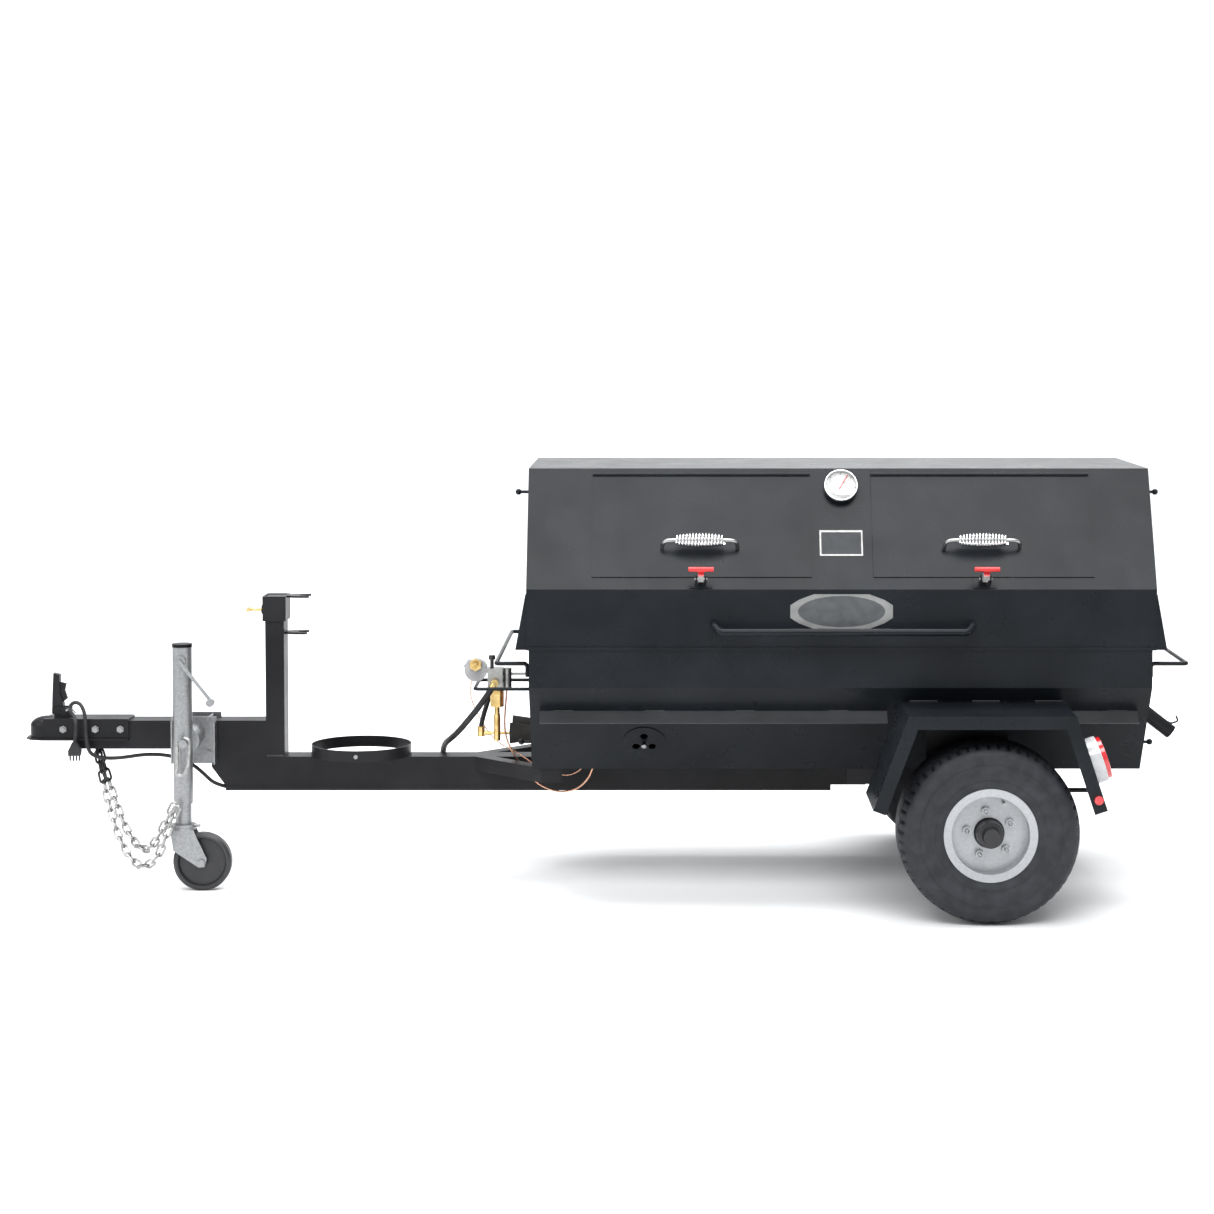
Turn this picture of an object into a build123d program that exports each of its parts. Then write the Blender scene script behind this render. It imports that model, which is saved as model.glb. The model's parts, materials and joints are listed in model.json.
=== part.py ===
"""Towable gas barbecue trailer: a long six-sided cooker on a single-axle trailer frame.

Row frame in millimetres: +X runs from the coupler to the rear, +Y away from the side with
the doors, +Z up, ground at Z = 0, and X = 0 at the middle of the overall length.
"""
from build123d import *
from math import cos, hypot, pi, radians, sin, tan
import os

# ---- driving dimensions -------------------------------------------------------------
SHEET = 3.0                                   # sheet steel of cooker and fenders
HOOD_X = (-186.0, 1414.0)                     # cooker hood, front to rear
BOX_X = (-180.0, 1404.0)                      # cooker box, a little shorter than the hood
HALF_DEPTH, HALF_TOP, HALF_FLOOR = 403.0, 256.0, 232.0
BOX_FLOOR_Z, BOX_KNEE_Z, BOX_RIM_Z = 334.0, 570.0, 665.5
HOOD_LIP_Z, HOOD_KNEE_Z, HOOD_TOP_Z = 666.0, 821.0, 1120.0
BEAM = 76.0                                   # 3 inch square tube of the tongue
BEAM_X, BEAM_Z = (-903.0, 703.0), (258.0, 334.0)
TONGUE_X, TONGUE_Z = (-1420.0, -1049.0), (355.0, 431.0)
COUPLER_NOSE_X, COUPLER_REAR_X = -1548.0, -1270.0
BALL = Vector(-1498.0, 0.0, 398.0)            # centre of the 2 inch hitch ball
BALL_R = 25.4
POST_X, POST_TOP_Z = (-903.0, -853.0), 763.0
RING_X, RING_R, RING_Z = -651.5, 134.0, (334.0, 364.0)
AXLE_X, TYRE_R = 974.0, 227.5                 # 18 inch tyre on an 8 inch rim
TYRE_Y = (410.0, 600.0)
RIM_FLANGE_Y, RIM_FLANGE_R, RIM_SEAT_R, DISC_Y = 592.0, 117.0, 101.5, 551.0
LUG_PCD_R, LUGS = 57.15, 5                    # five studs on 114.3 mm
SPINDLE_R, RUNNING = 12.5, 0.05               # radial running clearance
FENDER = [(679.0, 297.0), (766.0, 531.0), (1179.0, 531.0), (1257.0, 297.0)]
FENDER_Y, LIP = (377.0, 630.0), 33.0
JACK_X, JACK_Y, JACK_PIVOT = -1104.0, -157.0, Vector(-1095.0, 0.0, 396.0)
JACK_R, JACK_Z = 25.4, (231.0, 648.0)         # 2 inch jack tube
LEG_R, LEG_Z = 21.5, (176.0, 520.0)
CRANK_Z = 610.0
CASTER_X, CASTER_R, CASTER_HALF = -1054.0, 76.5, 18.0
DOORS = {"front": (-20.0, 539.0), "rear": (696.0, 1257.0)}
DOOR_TOP, DOOR_BOTTOM = 24.5, 300.5           # measured down the tilted panel
HINGE_DOWN, HINGE_OUT = 19.0, 5.5             # door hinge pin, down and out from the panel
HANDLE_X = {"front": 255.0, "rear": 973.0}
LATCH_X = {"front": 257.0, "rear": 977.0}
LATCH_DOWN, LATCH_OUT = 316.0, 30.0           # pivot of the latch lever on the panel
HOOD_PIN = (415.0, 662.0)                     # Y and Z of the hood's hinge pins
HOOD_HINGES = (0.0, 400.0, 820.0, 1220.0)
BURNER_Y, BURNER_Z = 65.0, 402.0
LONG_HOSE_R, SHORT_HOSE_R, CABLE_R, PILOT_R, CAPILLARY_R = 8.0, 6.5, 5.0, 2.5, 1.5
WALL = 5.0                                    # wall of the square tubes
COUPLER_BOLTS = [(-1444.0, 409.0), (-1358.0, 409.0), (-1291.0, 409.0)]
BRACKET_X, BRACKET_Z = (-1155.0, -1035.0), (317.0, 443.0)
CLAMP_BOLTS = [(x, z) for x in (-1141.0, -1057.0) for z in (349.5, 436.5)]
EYE_X, EYE_Z = -1359.0, 338.0                 # staple under the tongue for the chains
LEVER_PIVOT = (-1462.0, 452.0)                # X and Z
CLIP = (-1438.0, 458.0)                       # X and Z of the pin clip's hole
SPOUT = (Vector(1392, 0, 499), Vector(1527, 0, 394))
SPOUT_R, SPOUT_BORE_R = 19.0, 16.0
THERMOMETER = (618.0, 56.8)                   # along and down the tilted panel
LINK_WIRE, LINK_LONG, LINK_WIDE, LINK_PITCH = 6.4, 41.0, 24.0, 27.3
RAIL_Z = (294.0, BEAM_Z[1])                   # axle rails and their ties
RAIL_Y, TIE_Y = (-232.0, -196.0), (-196.0, -BEAM / 2)
AXLE_TUBE, AXLE_TOP_Z = 50.0, 252.5
STRIP_Z, STRIP_RUN, STRIP_DROP = 503.0, 27.0, 28.0
TAIL_LIGHT_Y, TAIL_LIGHT_Z, TAIL_LIGHT_R = -560.0, 407.0, 58.0
VENT_R, VENT_PCD_R, VENT_ANGLES = 10.0, 24.0, (90, 210, 330)
DAMPER_R, SLOPE_DAMPER_R, DAMPER_SCREW_R = 45.0, 56.0, 3.0
BURNER_R, BURNER_BORE_R = 20.0, 17.0

os.makedirs("parts", exist_ok=True)


# ---- small helpers ------------------------------------------------------------------
def block(x, y, z):
    """Box between pairs of limits."""
    size = [b - a for a, b in (x, y, z)]
    centre = [(a + b) / 2 for a, b in (x, y, z)]
    return Pos(*centre) * Box(*size)


def rod(start, end, radius):
    """Round bar between two points."""
    start, end = Vector(*start), Vector(*end)
    run = end - start
    return Plane(start, z_dir=run) * Cylinder(radius, run.length, align=(Align.CENTER, Align.CENTER, Align.MIN))


def pipe(start, end, radius, bore):
    """Hollow round bar between two points."""
    return rod(start, end, radius) - rod(start, end, bore)


def along_x(points, x0, x1):
    """Prism of a Y, Z outline."""
    return extrude(Plane.YZ.offset(x0) * Polygon(*points, align=None), amount=x1 - x0, dir=(1, 0, 0))


def along_y(points, y0, y1):
    """Prism of an X, Z outline."""
    face = Plane.XZ.offset(-y0) * Polygon(*points, align=None)
    return extrude(face, amount=y1 - y0, dir=(0, 1, 0))


def along_z(points, z0, z1):
    """Prism of an X, Y outline."""
    return extrude(Plane.XY.offset(z0) * Polygon(*points, align=None), amount=z1 - z0, dir=(0, 0, 1))


def band(line, width):
    """Closed outline of a bent strip: an open line and its copy moved sideways by width."""
    points = [Vector(*p) for p in line]
    side = []
    for i, point in enumerate(points):
        before = (point - points[i - 1]).normalized() if i else None
        after = (points[i + 1] - point).normalized() if i < len(points) - 1 else None
        first, second = before or after, after or before
        normal_a, normal_b = Vector(-first.Y, first.X), Vector(-second.Y, second.X)
        half = (normal_a + normal_b).normalized()
        side.append(point + half * (width / half.dot(normal_a)))
    return [(p.X, p.Y) for p in points + side[::-1]]


def both_sides(shape):
    """A part and its mirror image across the trailer."""
    return list(shape.solids()) + list(mirror(shape, about=Plane.XZ).solids())


def turned(profile, x, z):
    """Solid turned about an axle: profile holds (radius, Y) points or is a ready face."""
    face = Polygon(*profile, align=None) if isinstance(profile, list) else profile
    return Pos(x, 0, z) * revolve(face, Axis.Y)


def hex_bar(centre, direction, radius, length):
    """Six-sided bar standing on a point."""
    plane = Plane(Vector(*centre), z_dir=Vector(*direction))
    return extrude(plane * RegularPolygon(radius, 6), amount=length, dir=Vector(*direction))


def bent_rod(points, radius, bend):
    """Round bar through points with one bend radius, or a list of them."""
    path = FilletPolyline(*points, radius=bend)
    section = Plane(path @ 0, z_dir=path % 0) * Circle(radius)
    return sweep(section, path=path)


def cord_radii(points):
    """Largest bends that a route's runs allow: 0.45 of the shorter run by the half turn."""
    radii = []
    for a, b, c in zip(points, points[1:], points[2:]):
        into, out = Vector(*b) - Vector(*a), Vector(*c) - Vector(*b)
        turn = radians(into.get_angle(out))
        radii.append(0.45 * min(into.length, out.length) / tan(turn / 2))
    return radii


def cord(name, points, radius):
    """Tube along a hand-set route, with its length and bends printed."""
    radii = cord_radii(points)
    path = FilletPolyline(*points, radius=radii)
    tube = sweep(Plane(path @ 0, z_dir=path % 0) * Circle(radius), path=path)
    ratio = tube.volume / (pi * radius * radius * path.length)
    print(name, "length", round(path.length), "volume ratio", round(ratio, 3),
          "radii", [round(r) for r in radii])
    return tube


def save(name, *shapes):
    """Write one sub-part, one solid or a group of separate solids."""
    solids = [s for shape in shapes for s in (shape if isinstance(shape, list) else shape.solids())]
    whole = solids[0] if len(solids) == 1 else Compound(children=solids)
    export_step(whole, f"parts/{name}.step")


# ---- the tilted door panel: down = along it from the top crease, out = away from it ---
PANEL_LENGTH = hypot(HALF_DEPTH - HALF_TOP, HOOD_TOP_Z - HOOD_KNEE_Z)
PANEL_DOWN = Vector(0, -(HALF_DEPTH - HALF_TOP), HOOD_KNEE_Z - HOOD_TOP_Z) / PANEL_LENGTH
PANEL_OUT = Vector(0, PANEL_DOWN.Z, -PANEL_DOWN.Y)


def on_panel(x, down, out):
    """Point given along, down and out of the tilted panel."""
    return Vector(x, -HALF_TOP, HOOD_TOP_Z) + PANEL_DOWN * down + PANEL_OUT * out


def panel_block(x, down, out):
    """Box lying in the tilted panel's own directions."""
    corners = [on_panel(x[0], d, o) for d, o in
               ((down[0], out[0]), (down[1], out[0]), (down[1], out[1]), (down[0], out[1]))]
    return along_x([(c.Y, c.Z) for c in corners], x[0], x[1])


def half_width(z):
    """Outer half width of the box's sloping side at a height."""
    share = (z - BOX_FLOOR_Z) / (BOX_KNEE_Z - BOX_FLOOR_Z)
    return HALF_FLOOR + share * (HALF_DEPTH - HALF_FLOOR)


SLOPE_OUT = Vector(0, -(BOX_KNEE_Z - BOX_FLOOR_Z), -(HALF_DEPTH - HALF_FLOOR)).normalized()


# ---- trailer frame ------------------------------------------------------------------
def tube_x(x, z):
    """Square tube lying along the trailer's centre line."""
    half = BEAM / 2
    outer = block(x, (-half, half), z)
    return outer - block(x, (-half + WALL, half - WALL), (z[0] + WALL, z[1] - WALL))


def tongue_frame():
    """Main beam, upper tongue tube, gusset box joining them, and the wiring channel."""
    beam, tongue = tube_x(BEAM_X, BEAM_Z), tube_x(TONGUE_X, TONGUE_Z)
    for x, z in COUPLER_BOLTS[1:]:
        tongue -= rod((x, -60, z), (x, 60, z), 6.2)
    front, rear, low, high = TONGUE_X[1], BEAM_X[0], BEAM_Z[0], TONGUE_Z[1]
    outline = [(front, high), (rear, high), (rear, low), (front + 35, low), (front, 306)]
    gusset = along_y(outline, -38, 38) - along_y(
        [(front + 5, high - 5), (rear - 5, high - 5), (rear - 5, low + 5), (front + 37, low + 5),
         (front + 5, 308)], -33, 33)
    channel = block((-1013, 610), (-34, -6), (242, 258)) - block((-1013, 610), (-31, -9), (245, 258))
    staple = bent_rod([(EYE_X, -26, 355), (EYE_X, -26, EYE_Z), (EYE_X, 26, EYE_Z), (EYE_X, 26, 355)], 4, 6)
    save("tongue_frame", beam, tongue, gusset, channel, staple)


def cross_members():
    """Outriggers, axle rails and their cross ties, inner fender panels and rods."""
    wide = 27.0
    outrigger = along_z([(-316 - wide, -38), (-316 + wide, -38), (-130 + wide, -225),
                         (-130 - wide, -225)], 296, BEAM_Z[1])
    rail = block((640, 1110), RAIL_Y, RAIL_Z)
    tie = block((650, 688), TIE_Y, RAIL_Z)
    hanger = block((938, 1010), RAIL_Y, (AXLE_TOP_Z, RAIL_Z[0]))
    panel = block((830, 1039), (-400, -397), (292, 527.5))
    brace = rod((1039, -394, 307), (1247, -394, 307), 6)
    stay = block((1015, 1039), (-397, -232), (300, 324))
    shelf = block((-466, -418), (38, 112), (262, 268)) - rod((*HOSE_END[:2], 240), (*HOSE_END[:2], 280), 13.5)
    pieces = [both_sides(s) for s in (outrigger, rail, tie, hanger, panel, brace, stay)]
    save("cross_members", *pieces, shelf)


def axle():
    """Square axle tube with a turned spindle at each end."""
    half = AXLE_TUBE / 2
    beam = block((AXLE_X - half, AXLE_X + half), (-400, 400), (AXLE_TOP_Z - AXLE_TUBE, AXLE_TOP_Z))
    spindles = rod((AXLE_X, -594, TYRE_R), (AXLE_X, 594, TYRE_R), SPINDLE_R)
    save("axle", beam + spindles)


def coupler():
    """Stamped coupler: domed nose over the ball socket and a channel around the tongue."""
    rear, z0, z1 = COUPLER_REAR_X, 384.0, 436.0
    nose = BALL.X
    dome = rod((nose, 0, z0), (nose, 0, 414), 43) + Pos(nose, 0, 414) * scale(Sphere(43), (1, 1, 0.58))
    roof = block((nose, rear), (-43.5, 43.5), (z0, z1))
    hollow = block((nose + 40, rear), (-38.3, 38.3), (z0, TONGUE_Z[1]))
    flange_out = along_z([(COUPLER_NOSE_X + 14, -40), (nose, -52), (rear, -52), (rear, 52), (nose, 52),
                          (COUPLER_NOSE_X + 14, 40), (COUPLER_NOSE_X, 22), (COUPLER_NOSE_X, -22)], 379, z0)
    flange_in = block((nose + 40, rear), (-38.3, 38.3), (379, z0))
    body = dome + roof + flange_out - hollow - flange_in
    body -= Pos(BALL.X, 0, BALL.Z) * Sphere(BALL_R + 0.6)
    body -= rod((BALL.X, 0, 370), (BALL.X, 0, BALL.Z), BALL_R + 0.6)
    for x, z in COUPLER_BOLTS:
        body -= rod((x, -60, z), (x, 60, z), 6.2)
    body += both_sides(block((-1474, -1432), (-17, -12), (z1 - 1, 464)))
    body -= rod((*LEVER_PIVOT[:1], -30, LEVER_PIVOT[1]), (*LEVER_PIVOT[:1], 30, LEVER_PIVOT[1]), 4 + RUNNING)
    body -= rod((CLIP[0], -30, CLIP[1]), (CLIP[0], -11, CLIP[1]), 3.2)
    save("coupler_body", body)


def bolt_through(x, z, half, radius):
    """Hex bolt across the frame, with its nut."""
    bolt = rod((x, -half - 12, z), (x, half + 12, z), radius)
    head = hex_bar((x, -half, z), (0, -1, 0), radius * 1.7, 7)
    nut = hex_bar((x, half, z), (0, 1, 0), radius * 1.7, 9)
    return bolt + head + nut


def frame_bolts():
    """Coupler bolts, the jack bracket's clamp bolts and the tank ring's set screws."""
    bolts = [bolt_through(x, z, 43.5, 6) for x, z in COUPLER_BOLTS]
    bolts += [bolt_through(x, z, 44, 4) for x, z in CLAMP_BOLTS]
    for angle in (270, 45, 135):
        way = Vector(cos(radians(angle)), sin(radians(angle)), 0)
        seat = Vector(RING_X, 0, 349) + way * RING_R
        bolts.append(hex_bar(seat, way, 6, 5))
    x, z = CLIP
    bolts.append(rod((x, -30, z), (x, -12, z), 3.2))
    bolts.append(bent_rod([(x + 3.5, -27, z), (x + 12, -28, z + 6), (x + 24, -27, z - 8)], 2, 8))
    save("frame_fasteners", *bolts)


def post_and_ring():
    """Tank post with its lower fork, and the ring that the gas tank's foot stands in."""
    tube = block(POST_X, (-38, 38), (BEAM_Z[1], POST_TOP_Z)) - block(
        (POST_X[0] + 4, POST_X[1] - 4), (-34, 34), (BEAM_Z[1], POST_TOP_Z - 4))
    save("tank_post", tube + fork(662))
    low = (RING_X, 0, RING_Z[0])
    high = (RING_X, 0, RING_Z[1])
    save("tank_ring", pipe(low, high, RING_R, RING_R - 3))


def fork(z, x=POST_X[1]):
    """Flat two-pronged plate that catches the tank's collar."""
    plate = along_z([(x, -20), (x + 22, -30), (x + 58, -32), (x + 60, -22), (x + 34, -12), (x + 34, 12),
                     (x + 60, 22), (x + 58, 32), (x + 22, 30), (x, 20)], z, z + 5)
    return plate


def tank_clamp():
    """Sleeve that slides on the post with the upper fork, and the brass screw that locks it."""
    x0, x1 = POST_X
    z0, z1, zc = 699.0, 765.0, 726.0
    sleeve = block((x0 - 6, x1 + 6), (-44, 44), (z0, z1)) - block((x0 - 0.5, x1 + 0.5), (-38.5, 38.5), (z0, z1))
    boss = rod((x0 - 14, 0, zc), (x0 - 6, 0, zc), 12)
    bore = rod((x0 - 15, 0, zc), (x0 + 1, 0, zc), 4 + RUNNING)
    save("tank_clamp", sleeve + boss - bore + fork(z1 - 5, x1 + 6))
    shank = rod((x0 - 52, 0, zc), (x0 - 0.9, 0, zc), 4)
    tee = rod((x0 - 49, -16, zc), (x0 - 49, 16, zc), 5)
    save("clamp_screw", shank + tee)


# ---- cooker box ---------------------------------------------------------------------
BOX_LINE = [(-HALF_DEPTH + 25, BOX_RIM_Z), (-HALF_DEPTH, BOX_RIM_Z), (-HALF_DEPTH, BOX_KNEE_Z),
            (-HALF_FLOOR, BOX_FLOOR_Z), (HALF_FLOOR, BOX_FLOOR_Z), (HALF_DEPTH, BOX_KNEE_Z),
            (HALF_DEPTH, BOX_RIM_Z), (HALF_DEPTH - 25, BOX_RIM_Z)]


def damper_vents(plane):
    """Three round air holes about a damper's centre, as a cutter."""
    places = [(VENT_PCD_R * cos(radians(a)), VENT_PCD_R * sin(radians(a))) for a in VENT_ANGLES]
    return [plane * Pos(x, y, 0) * Cylinder(VENT_R, 20) for x, y in places]


def damper_planes():
    """Place and outward direction of each of the five round dampers."""
    slope = Vector(112, -half_width(412), 412)
    return {
        "hood_front": Plane(Vector(HOOD_X[0], -190, 1055), x_dir=(0, 1, 0), z_dir=(-1, 0, 0)),
        "hood_rear": Plane(Vector(HOOD_X[1], -190, 1055), x_dir=(0, 1, 0), z_dir=(1, 0, 0)),
        "box_front": Plane(Vector(BOX_X[0], -200, 400), x_dir=(0, 1, 0), z_dir=(-1, 0, 0)),
        "box_rear": Plane(Vector(BOX_X[1], -200, 400), x_dir=(0, 1, 0), z_dir=(1, 0, 0)),
        "slope": Plane(slope, x_dir=(1, 0, 0), z_dir=SLOPE_OUT),
    }


def cooker_box():
    """Bent trough, end plates, side deflector strips and the bars on its ends."""
    planes = damper_planes()
    trough = along_x(band(BOX_LINE, SHEET), *BOX_X)
    trough -= damper_vents(planes["slope"])
    trough -= planes["slope"] * Cylinder(DAMPER_SCREW_R + RUNNING, 20)
    save("box_trough", trough)

    inner = [(y, z) for y, z in band(BOX_LINE, SHEET)[len(BOX_LINE) + 1:-1]]
    ends = []
    for x0, side in ((BOX_X[0], "box_front"), (BOX_X[1] - SHEET, "box_rear")):
        plate = along_x(inner, x0, x0 + SHEET)
        plate -= damper_vents(planes[side])
        plate -= planes[side] * Cylinder(DAMPER_SCREW_R + RUNNING, 20)
        ends.append(plate)
    for y in (-BURNER_Y, BURNER_Y):
        ends[0] -= rod((-200, y, BURNER_Z), (-150, y, BURNER_Z), BURNER_R + 0.5)
    ends[1] -= rod(SPOUT[0] - (SPOUT[1] - SPOUT[0]), SPOUT[1], SPOUT_R + 0.2)
    save("box_ends", *ends)

    top_y = half_width(STRIP_Z)
    edge = [(-top_y, STRIP_Z), (-top_y - STRIP_RUN, STRIP_Z - STRIP_DROP)]
    strip = along_x(band(edge, -SHEET), -154, 1375)
    hole = block((734, 1208), (-480, -300), (460, 545))
    ledge = block((BOX_X[0] + 5, BOX_X[1] - 5), (-400, -378), (618, 621))
    save("box_strips", *[both_sides(s) for s in (strip - hole).solids()], both_sides(ledge))

    bars = []
    for wall, reach, turn in ((BOX_X[0], -266.0, -1), (BOX_X[1], 1502.0, 1)):
        foot = wall + turn * 6
        points = [(foot, -347, 591), (foot, -347, 625), (reach, -347, 625), (reach, 347, 625),
                  (foot, 347, 625), (foot, 347, 591)]
        bars.append(bent_rod(points, 5.5, 10))
    guard = [(BOX_X[0], -146, 531), (-336, -146, 531), (-336, 32, 531), (BOX_X[0], 32, 531)]
    bars.append(bent_rod(guard, 4.5, 12))
    save("end_bars", *bars)


def cooker_inside():
    """Grates on their ledges, drip pan, and the two gas burner tubes with their mixers."""
    grates = []
    for k in range(3):
        x0 = -165 + k * 525
        frame = block((x0, x0 + 510), (-385, 385), (621, 629)) - block((x0 + 8, x0 + 502), (-377, 377), (621, 629))
        for i in range(1, 13):
            x = x0 + i * 510 / 13
            frame += block((x - 3, x + 3), (-378, 378), (622, 628))
        grates.append(frame)
    save("cooking_grates", *grates)
    pan = band([(-335, 550), (0, 510), (335, 550)], 2)
    save("drip_pan", along_x(pan, BOX_X[0] + 8, BOX_X[1] - 8))
    burners = []
    for y in (-BURNER_Y, BURNER_Y):
        tube = pipe((-190, y, BURNER_Z), (1330, y, BURNER_Z), BURNER_R, BURNER_BORE_R)
        cap = rod((1330, y, BURNER_Z), (1336, y, BURNER_Z), BURNER_R)
        bell = [(20, -190), (28, -244), (28, -248), (24, -248), (16.5, -190)]
        mixer = Pos(0, y, BURNER_Z) * Rot(0, 0, -90) * revolve(Polygon(*bell, align=None), Axis.Y)
        burners.append(tube + cap + mixer)
    save("burners", *burners)


def spout():
    """Grease pipe through the rear end wall with a wire hook for a bucket."""
    tube = pipe(*SPOUT, SPOUT_R, SPOUT_BORE_R)
    wire = bent_rod([(1506, 0, 428), (1528, 0, 418), (1546.8, 0, 424), (1541, 0, 438)], 2.5, [9, 5])
    wire -= rod(*SPOUT, SPOUT_R)
    save("grease_spout", tube + wire)


# ---- fenders, lights and wheels -----------------------------------------------------
def fenders():
    """Bent plate over each wheel with a turned-down outer lip."""
    skin = along_y(band(FENDER, -SHEET), -FENDER_Y[1], -FENDER_Y[0])
    lip = along_y(band(FENDER, -LIP), -FENDER_Y[1], -FENDER_Y[1] + SHEET)
    save("fenders", both_sides(skin + lip))


LIGHT_OUT = Vector(FENDER[2][1] - FENDER[3][1], 0, FENDER[3][0] - FENDER[2][0]).normalized()


def lights():
    """Round tail light on each fender's rear plate, side marker on each lip."""
    share = (FENDER[2][1] - TAIL_LIGHT_Z) / (FENDER[2][1] - FENDER[3][1])
    seat = Vector(FENDER[2][0] + share * (FENDER[3][0] - FENDER[2][0]), TAIL_LIGHT_Y, TAIL_LIGHT_Z)
    body = rod(seat, seat + LIGHT_OUT * 30, TAIL_LIGHT_R)
    lens = rod(seat + LIGHT_OUT * 30, seat + LIGHT_OUT * 41, TAIL_LIGHT_R - 5)
    marker = rod((1234, -630, 324), (1234, -638, 324), 11)
    save("tail_light_bodies", both_sides(body))
    save("light_lenses", both_sides(lens), both_sides(marker))


def wheels():
    """Tyre, rim and hub group of each wheel, drawn on the far side and mirrored."""
    mid, half = (TYRE_Y[0] + TYRE_Y[1]) / 2, (TYRE_Y[1] - TYRE_Y[0]) / 2
    face = Pos((TYRE_R + RIM_SEAT_R) / 2, mid) * Rectangle(TYRE_R - RIM_SEAT_R, 2 * half)
    outer = [v for v in face.vertices() if v.X > RIM_SEAT_R + 10]
    face = fillet(outer, 52)
    tyre = turned(face, AXLE_X, TYRE_R) - turned(
        [(95, 409), (RIM_FLANGE_R + 1, 409), (RIM_FLANGE_R, 418), (RIM_FLANGE_R, 422), (RIM_SEAT_R, 424),
         (RIM_SEAT_R, 586), (RIM_FLANGE_R, 588), (RIM_FLANGE_R, 592), (RIM_FLANGE_R + 1, 601), (95, 601)], AXLE_X, TYRE_R)
    inner = Pos(160, mid) * Rectangle(90, 150)
    tyre -= turned(fillet(inner.vertices(), 35), AXLE_X, TYRE_R)
    save("wheel_right_tyre", tyre)
    save("wheel_left_tyre", mirror(tyre, about=Plane.XZ))

    seat = RIM_SEAT_R - 4
    rim = turned([(seat, 418), (RIM_FLANGE_R, 418), (RIM_FLANGE_R, 422), (RIM_SEAT_R, 424), (RIM_SEAT_R, 586),
                  (RIM_FLANGE_R, 588), (RIM_FLANGE_R, RIM_FLANGE_Y), (seat, 590)], AXLE_X, TYRE_R)
    rim += turned([(37, DISC_Y - 5), (seat + 1, DISC_Y - 5), (seat + 1, DISC_Y), (37, DISC_Y)], AXLE_X, TYRE_R)
    bore = SPINDLE_R + RUNNING
    hub = turned([(bore, 430), (34, 430), (34, 528), (72, 534), (72, DISC_Y - 5), (36, DISC_Y - 5), (33, 588),
                  (23, 590), (20, 613), (0, 613), (0, 598), (bore, 598)], AXLE_X, TYRE_R)
    rings = []
    for y0, y1 in ((436, 452), (560, 576)):
        hub -= turned([(bore, y0), (25, y0), (25, y1), (bore, y1)], AXLE_X, TYRE_R)
        rings.append(turned([(bore, y0), (25, y0), (25, y1), (bore, y1)], AXLE_X, TYRE_R))
    studs = []
    for k in range(LUGS):
        angle = radians(90 + 10 + k * 360 / LUGS)
        x, z = AXLE_X + LUG_PCD_R * cos(angle), TYRE_R + LUG_PCD_R * sin(angle)
        hub -= rod((x, 520, z), (x, DISC_Y, z), 6.2)
        rim -= rod((x, 520, z), (x, DISC_Y + 1, z), 6.2)
        studs.append(rod((x, 532, z), (x, 574, z), 6) + hex_bar((x, DISC_Y, z), (0, 1, 0), 11, 15))
    valve_x, valve_z = AXLE_X + 84 * sin(radians(25)), TYRE_R + 84 * cos(radians(25))
    valve = rod((valve_x, DISC_Y, valve_z), (valve_x, 582, valve_z), 4)
    pieces = [rim, valve, hub, *rings, *studs]
    save("wheel_right_rim", *pieces)
    save("wheel_left_rim", *[mirror(p, about=Plane.XZ) for p in pieces])


# ---- gas train ----------------------------------------------------------------------
HOSE_END = (-442.0, 93.0, 280.0)
LONG_HOSE = [(-293, -97, 527), (-322, -94, 484), (-356, -82, 441), (-388, -55, 402), (-413, -8, 376),
             (-431, 43, 357), (-440, 80, 326), HOSE_END]
SHORT_HOSE = [(-302, -42, 505), (-308, -46, 484), (-315, -54, 462), (-321, -61, 440), (-325, -65, 420)]
PILOT_LINE = [(-256, -66, 520), (-259, -68, 480), (-262, -74, 440), (-260, -80, 400), (-246, -82, 362),
              (-222, -80, 326), (-196, -78, 288), (-160, -92, 262), (-112, -108, 249), (-65, -122, 262),
              (-36, -134, 292), (-22, -140, 330)]
CAPILLARY = [(-351, -36, 538), (-357, -34, 508), (-348, -34, 472), (-328, -32, 432), (-306, -30, 396),
             (-276, -28, 366), (-242, -36, 352), (-208, -48, 332), (-172, -58, 308), (-130, -68, 293),
             (-92, -80, 290), (-62, -92, 304), (-44, -100, 330)]


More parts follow.
